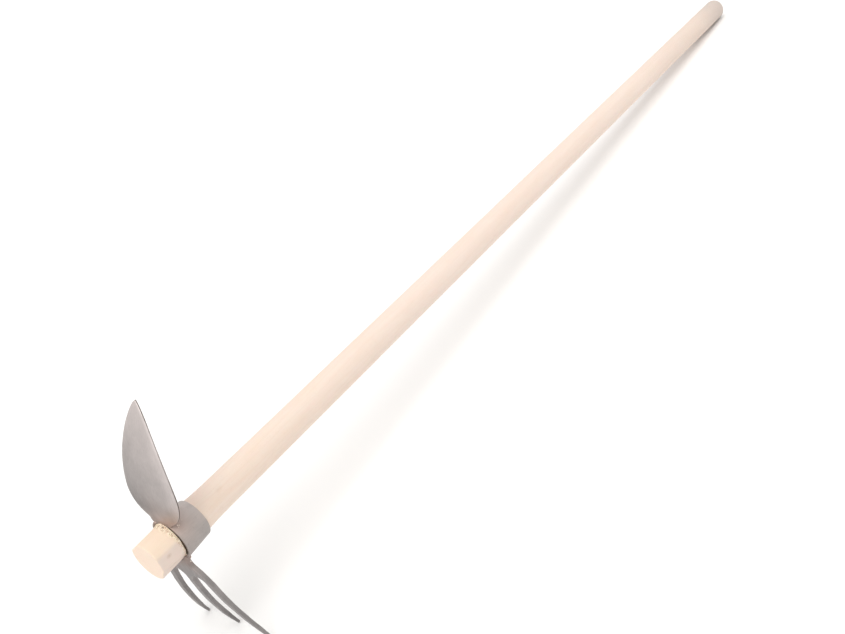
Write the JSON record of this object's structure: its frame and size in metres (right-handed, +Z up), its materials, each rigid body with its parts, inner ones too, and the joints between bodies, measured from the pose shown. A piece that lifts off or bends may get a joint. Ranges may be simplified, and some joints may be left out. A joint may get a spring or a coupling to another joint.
{
  "type": "combination hoe",
  "caption": "Hand hoe with a pointed leaf blade on one side of a short conical eye, a forged fork on the other side, and a long round wooden handle.",
  "frame": {"origin": "on the floor, at the middle of the bounding box of the standing tool", "axes": "+X runs from the head to the grip, +Z is up and points to the blade, and +Y is level across the tool; the tool stands on its outer tines and on the end of the grip, so that the handle slopes down to the grip by 5.3 degrees"},
  "size_m": [1.1936, 0.0924, 0.2408],
  "materials": {
    "ash_wood": "fine-sanded pale ash or beech, bare or lightly oiled, end grain and scraped fibres at the eye",
    "eye_steel": "bare forged steel, satin grey, fine grinding marks",
    "blade_steel": "ground steel plate, satin, brighter along the sharpened rim",
    "fork_steel": "bare forged steel, darker satin grey",
    "weld_steel": "rippled weld metal, lightly heat stained"
  },
  "bodies": {
    "root": {"handle": "ash_wood", "eye_collar": "eye_steel", "leaf_blade": "blade_steel", "tine_fork": "fork_steel", "blade_weld": "weld_steel", "fork_weld": "weld_steel"}
  },
  "joints": []
}
